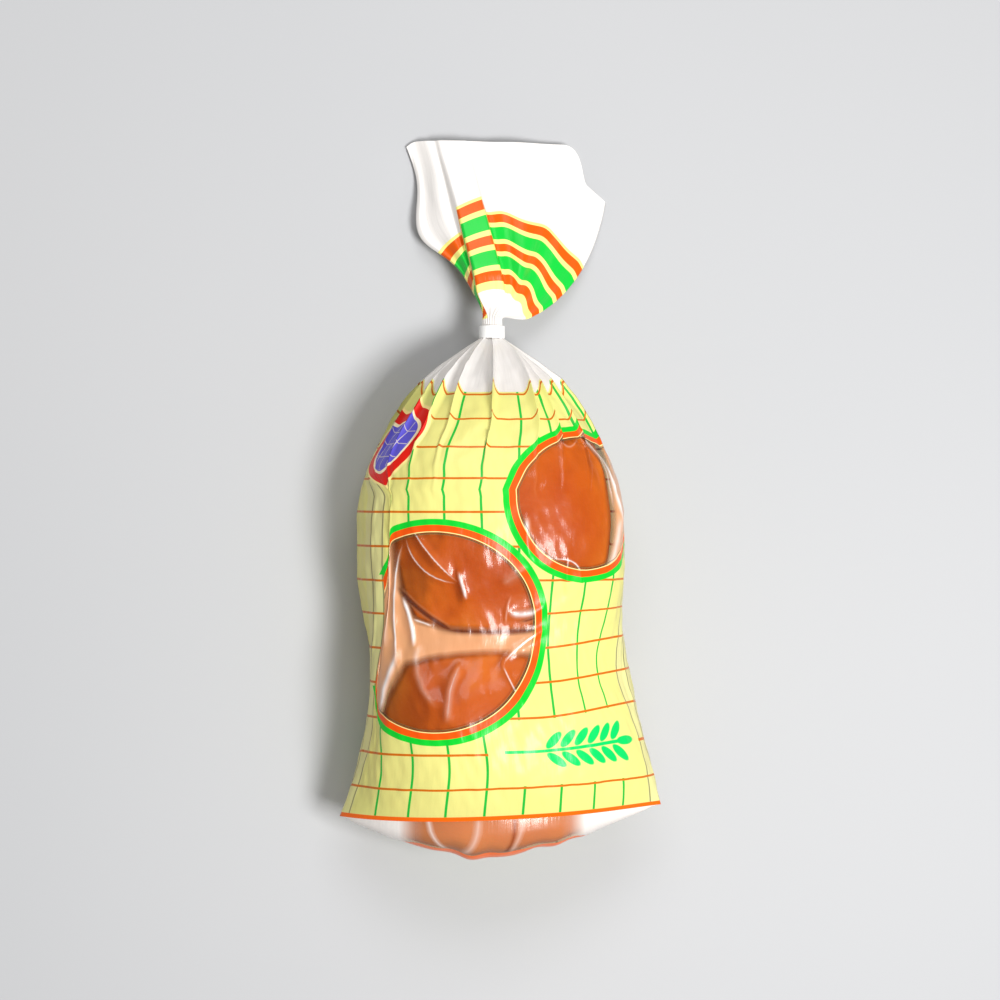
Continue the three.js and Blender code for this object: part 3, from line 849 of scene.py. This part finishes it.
def finishFilm(made):
    f = Finish("printed_film")
    flat = f.node("ShaderNodeUVMap", dict(uv_map="film"))
    v = f.node("ShaderNodeSeparateXYZ", None, {0: flat}, output=1)
    a = f.node("ShaderNodeSeparateXYZ", None, {0: flat})
    onBack = a > sheet["backStarts"] - sheet["weld"]
    a = a - onBack * sheet["backStarts"]
    where = f.node("ShaderNodeTexCoord", None, None, output=3)
    air = f.node("ShaderNodeAttribute", dict(attribute_name="air"), None, output=2)
    soft = printing["soft"]
    cell = (a - sheet["weld"]) / sheet["across"]
    row = v / sheet["along"]
    onFront = 1 - onBack
    # How pale the film is painted along the creases: partly the whitening of folded film, partly painted
    # highlight.
    whitenedAndHighlit = strongest(lineOf(c, cell, row) * c["whitenedAndHighlit"] for c in creases) * onFront
    # How dark the film is painted along the shadow lines: painted shadow in the gap between the buns.
    sunk = strongest(lineOf(c, cell, row) * c["dark"] for c in shadowLines) * onFront

    # The check: green lines up the bag and orange-brown lines across it.
    panel = within(abs(v - printTop / 2), printTop / 2 + 1.45, soft)
    onBare = (cell > printing["bareFrom"] + 0.05) * (row > printing["bareRows"][0] + 0.05)
    onBare = onBare * (row < printing["bareRows"][1] - 0.05) * (cell < 8.95)
    across = within(row.toNearest() * sheet["along"], printing["lineHalf"], soft) * (1 - onBare)
    upward = within(cell.toNearest() * sheet["across"], printing["greenHalf"], soft) * (1 - onBare)
    fromEdge = abs(abs(cell - 4.5) - 4.5 - onBack * 0.25) * sheet["across"]
    edge = within(fromEdge, printing["edgeHalf"], soft)
    inner = within(abs(cell - 4.5), 4.45, 0.01)
    cloud = f.noise(where, 18.0)
    colour = f.mixed((cloud - 0.5) * 0.5 + 0.25, inks["field"], paint(252, 250, 140))
    colour = f.mixed(0.4 - inner * 0.4, colour, inks["welded"])
    colour = f.mixed(upward * inner, colour, inks["green"])
    colour = f.mixed(edge * 0.7, colour, inks["dark"])
    colour = f.mixed(across, colour, inks["line"])
    hem = within(abs(v - 0.4), printing["hemHalf"], soft)
    colour = f.mixed(hem, colour, inks["hem"])
    inked = (upward * inner).most(across).most(hem)

    # A green wheat sprig lies in the bare place.
    sprigX = v - 2.05 * sheet["along"]
    sprigY = (cell - 4.5) * sheet["across"]
    sprig = wheatEar(sprigX, sprigY, 66.0, soft)
    colour = f.mixed(sprig * onBare, colour, inks["sprig"])
    inked = inked.most(sprig * onBare)

    # A plain round badge on the shoulder: a red ring round a violet field with a fine check.
    badgeX, badgeRow, badgeSize = printing["badge"]
    by = (row - badgeRow) * sheet["along"]
    bx = ((cell - badgeX) * sheet["across"] - by * printing["badgeSlant"]) * printing["badgeNarrow"]
    size = badgeSize * sheet["across"]
    fromBadge = (bx * bx + by * by) ** 0.5 + onBack * 99
    onBadge = within(fromBadge, size, soft)
    badge = f.mixed(within(fromBadge, size * 0.93, soft), inks["ringPale"], inks["red"])
    badge = f.mixed(within(fromBadge, size * 0.68, soft), badge, inks["cream"])
    badge = f.mixed(within(fromBadge, size * 0.62, soft), badge, inks["violet"])
    check = within(bx.toNearest(size * 0.3), 0.2, soft).most(within(by.toNearest(size * 0.3), 0.2, soft))
    badge = f.mixed(check * within(fromBadge, size * 0.6, soft) * 0.6, badge, inks["cream"])
    colour = f.mixed(onBadge, colour, badge)
    inked = inked.most(onBadge)

    # Windows: clear film inside a green and orange ring.
    clear = None
    for windowX, windowRow, windowSize, isBack in printing["windows"]:
        wx, wy = cell - windowX, row - windowRow
        beside = within(cell, 0.02, 0.01) * within(abs(wy), windowSize * 0.5, 0.01)
        far = (wx * wx + wy * wy) ** 0.5 + abs(onBack - isBack) * 99 + beside * 99
        green = windowSize - printing["greenRing"]
        orange = green - printing["orangeRing"]
        tiny = soft / sheet["across"]
        onRing = within(far, windowSize, tiny)
        inked = inked.most(onRing)
        colour = f.mixed(onRing, colour, inks["ringGreen"])
        colour = f.mixed(within(far, green, tiny), colour, inks["ringOrange"])
        colour = f.mixed(within(far, orange + 0.025, tiny), colour, inks["ringPale"])
        hole = within(far, orange, tiny)
        line = within(abs(far - (orange - 0.05)), 0.012, tiny)
        hole = hole * (1 - line * 0.75)
        colour = f.mixed(line, colour, inks["dark"])
        clear = hole if clear is None else clear.most(hole)

    # Stripes round the tail.
    reach = filmToNeck + printing["stripesFrom"]
    striped = colour
    start = reach
    for ink, width in printing["stripes"]:
        striped = f.mixed(within(start, v, soft), striped, inks[ink])
        start += width
    onTail = within(reach, v, soft) * within(v, start, soft)
    colour = f.mixed(onTail, colour, striped)
    inked = inked.most(onTail)
    printed = (panel * (1 - clear)).most(onTail)

    # Bare film: clear over the buns, milky where it stands off them and where it is gathered.
    cone = f.spread(v, printTop - 4, filmToNeck)
    beyond = f.spread(v, filmToNeck + 2, filmToNeck + 12)
    milk = clearFilm["offBuns"] * f.spread(air, clearFilm["airFrom"], clearFilm["airTo"])
    underHem = within(v, 0.0, 1.0)
    fromMiddle = abs(cell - clearFilm["gussetMiddle"])
    aside = underHem * f.spread(fromMiddle, clearFilm["sidesFrom"], clearFilm["sidesTo"])
    milk = milk.most(underHem * clearFilm["underHem"]).most(aside * clearFilm["atSides"])
    gathered = (v > printTop) * (clearFilm["cone"] + clearFilm["coneMore"] * cone)
    milk = milk.most(gathered).most(beyond * clearFilm["tail"])
    creasing = f.noise(f.joined(a * 0.9, v * 0.05), 0.9, 4.0, 0.6)
    # Along the creases the film is made milkier: partly the whitening of folded film, partly painted
    # highlight.
    milk = milk + (creasing - 0.5) * 0.2 * (v > printTop) + whitenedAndHighlit * clearFilm["creased"]
    # Along the shadow lines the film is made milky, to carry the painted shadow.
    milk = milk.most(sunk).held()

    fine = f.noise(where, 160.0, 3.0, 0.55)
    long = f.noise(f.joined(a * 0.35, v * 0.06), 1.0, 3.0, 0.6)
    height = fine * 0.25 + long * 0.75
    normal = f.node("ShaderNodeBump", None, dict(Strength=0.22, Distance=0.0012, Height=height))
    ink = f.node("ShaderNodeBsdfPrincipled", None, {
        "Base Color": colour, "Roughness": 0.3, "IOR": clearFilm["ior"], "Specular IOR Level": 0.26,
        "Normal": normal,
    })
    # Over the buns the milky film is painted in their colour, standing for their light scattered through the
    # haze.
    overBuns = within(v, printTop, soft) * (1 - aside)
    haze = f.mixed(overBuns, paint(255, 250, 245), inks["haze"])
    # Dark along the shadow lines: painted shadow.
    haze = f.mixed((sunk * 2).held(), haze, inks["sunk"])
    # Near white along the creases: whitening of folded film and painted highlight.
    haze = f.mixed((whitenedAndHighlit * 1.5).held(), haze, paint(255, 252, 250))
    milky = f.node("ShaderNodeBsdfPrincipled", None, {
        "Base Color": haze, "Roughness": clearFilm["milkRoughness"], "IOR": clearFilm["ior"],
        "Normal": normal,
    })
    seeThrough = f.node("ShaderNodeBsdfTransparent", None, {"Color": (1, 1, 1, 1)})
    glossy = f.node("ShaderNodeBsdfGlossy", None, {
        "Color": (1, 1, 1, 1), "Roughness": clearFilm["glossRoughness"], "Normal": normal,
    })
    facing = f.node("ShaderNodeFresnel", None, {"IOR": clearFilm["ior"]})
    backLit = f.node("ShaderNodeBsdfTranslucent", None, {"Color": (1, 1, 1, 1)})
    milky = f.layered(clearFilm["backLit"], milky, backLit)
    bare = f.layered(milk, seeThrough, milky)
    bare = f.layered(facing * clearFilm["gloss"], bare, glossy)
    warmLit = f.node("ShaderNodeBsdfTranslucent", None, {"Color": paint(255, 240, 190)})
    ink = f.layered((1 - inked) * clearFilm["inkBackLit"], ink, warmLit)
    f.done(f.layered(printed, bare, ink), made)


crust = dict(
    # from the pale rim to the top of the crown
    stops=[
        (0.0, paint(236, 170, 84)), (0.3, paint(206, 114, 28)), (0.55, paint(188, 87, 6)),
        (0.8, paint(175, 72, 2)), (1.0, paint(162, 62, 2)),
    ],
    flecks=paint(210, 110, 36), patchSize=26.0, fleckSize=240.0,
)


def finishCrust(made, seed):
    f = Finish(made.name + "_crust")
    where = f.node("ShaderNodeTexCoord", None, None, output=3)
    spot = f.node("ShaderNodeSeparateXYZ", None, {0: where}, output=2)
    patches = f.noise(where, crust["patchSize"] + seed, 4.0, 0.55)
    fine = f.noise(where, crust["fleckSize"], 3.0, 0.6)
    low = min(vertex.co.z for vertex in made.data.vertices)
    high = max(vertex.co.z for vertex in made.data.vertices)
    rise = f.spread(spot, low, high)
    tone = (rise * 0.75 + (patches - 0.5) * 0.9 + 0.02).held()
    colour = f.node("ShaderNodeValToRGB", dict(stops=crust["stops"]), {0: tone})
    colour = f.mixed((fine - 0.45).held() * 0.4, colour, crust["flecks"])
    height = fine * 0.4 + patches
    normal = f.node("ShaderNodeBump", None, dict(Strength=0.4, Distance=0.0015, Height=height))
    f.done(f.node("ShaderNodeBsdfPrincipled", None, {
        "Base Color": colour, "Roughness": 0.45, "IOR": 1.45, "Specular IOR Level": 0.2, "Normal": normal,
    }), made)


def finishBand(made):
    f = Finish("white_tape")
    where = f.node("ShaderNodeTexCoord", None, None, output=3)
    weave = f.noise(where, 900.0, 2.0)
    wear = f.noise(where, 120.0, 3.0)
    colour = f.mixed((wear - 0.4).held(), paint(250, 249, 246), paint(228, 226, 222))
    normal = f.node("ShaderNodeBump", None, dict(Strength=0.25, Distance=0.0003, Height=weave))
    f.done(f.node("ShaderNodeBsdfPrincipled", None, {
        "Base Color": colour, "Roughness": 0.45, "Normal": normal,
    }), made)


film = joinFilm()
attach(film, "root")
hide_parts("bag")
print("film:", len(film.data.polygons), "faces")
contents = [bakeBun(bun, film) for bun in buns]
for made, bun in zip(contents, buns):
    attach(made, "root")
    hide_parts("bag")
    finishCrust(made, bun["draw"])
measureAir(film, contents)
finishFilm(film)
finishBand(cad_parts["neck_band"])

studio = dict(
    distance=1.15, yaw=10, aimX=-0.8, aimY=-3.74, aimZ=39, frameWidth=478,
    floor=3.0, world=0.3,
    lights=(
        dict(name="key", at=(0.4, -0.28, 1.22), size=(0.42, 0.42), power=17),
        dict(name="fill", at=(-0.1, 0.75, 1.05), size=(0.9, 0.5), power=6),
    ),
)


def lightStage():
    bpy.ops.object.select_all(action="DESELECT")
    bpy.ops.mesh.primitive_plane_add(size=studio["floor"])
    floor = bpy.context.object
    floor.name = "floor"
    f = Finish("pale_floor")
    shade = f.noise(f.node("ShaderNodeTexCoord", None, None, output=3), 3.0, 1.0)
    colour = f.mixed(shade, paint(184, 185, 187), paint(190, 190, 191))
    shader = f.node("ShaderNodeBsdfPrincipled", None, {"Base Color": colour, "Roughness": 0.7})
    f.tree.links.new(shader.socket, f.out.inputs["Surface"])
    floor.data.materials.append(f.material)
    aim = Vector((studio["aimX"], studio["aimY"], studio["aimZ"])) * mm
    for light in studio["lights"]:
        bpy.ops.object.light_add(type="AREA", location=light["at"])
        lamp = bpy.context.object
        lamp.name = light["name"]
        lamp.data.shape = "RECTANGLE"
        lamp.data.size, lamp.data.size_y = light["size"]
        lamp.data.energy = light["power"]
        lamp.rotation_euler = (aim - lamp.location).to_track_quat("-Z", "Y").to_euler()
    world = bpy.data.worlds.new("studio")
    world.use_nodes = True
    world.node_tree.nodes["Background"].inputs["Color"].default_value = (1, 1, 1, 1)
    world.node_tree.nodes["Background"].inputs["Strength"].default_value = studio["world"]
    bpy.context.scene.world = world
    yaw = math.radians(studio["yaw"])
    bpy.ops.object.camera_add(location=aim + Vector((-math.sin(yaw), 0, math.cos(yaw))) * studio["distance"])
    camera = bpy.context.object
    camera.rotation_euler = (0, -yaw, 0)
    camera.data.sensor_width = 36
    camera.data.lens = 36 * studio["distance"] / (studio["frameWidth"] * mm)
    bpy.context.scene.camera = camera
    bpy.context.scene.view_settings.view_transform = "Standard"


lightStage()
print("stage set")
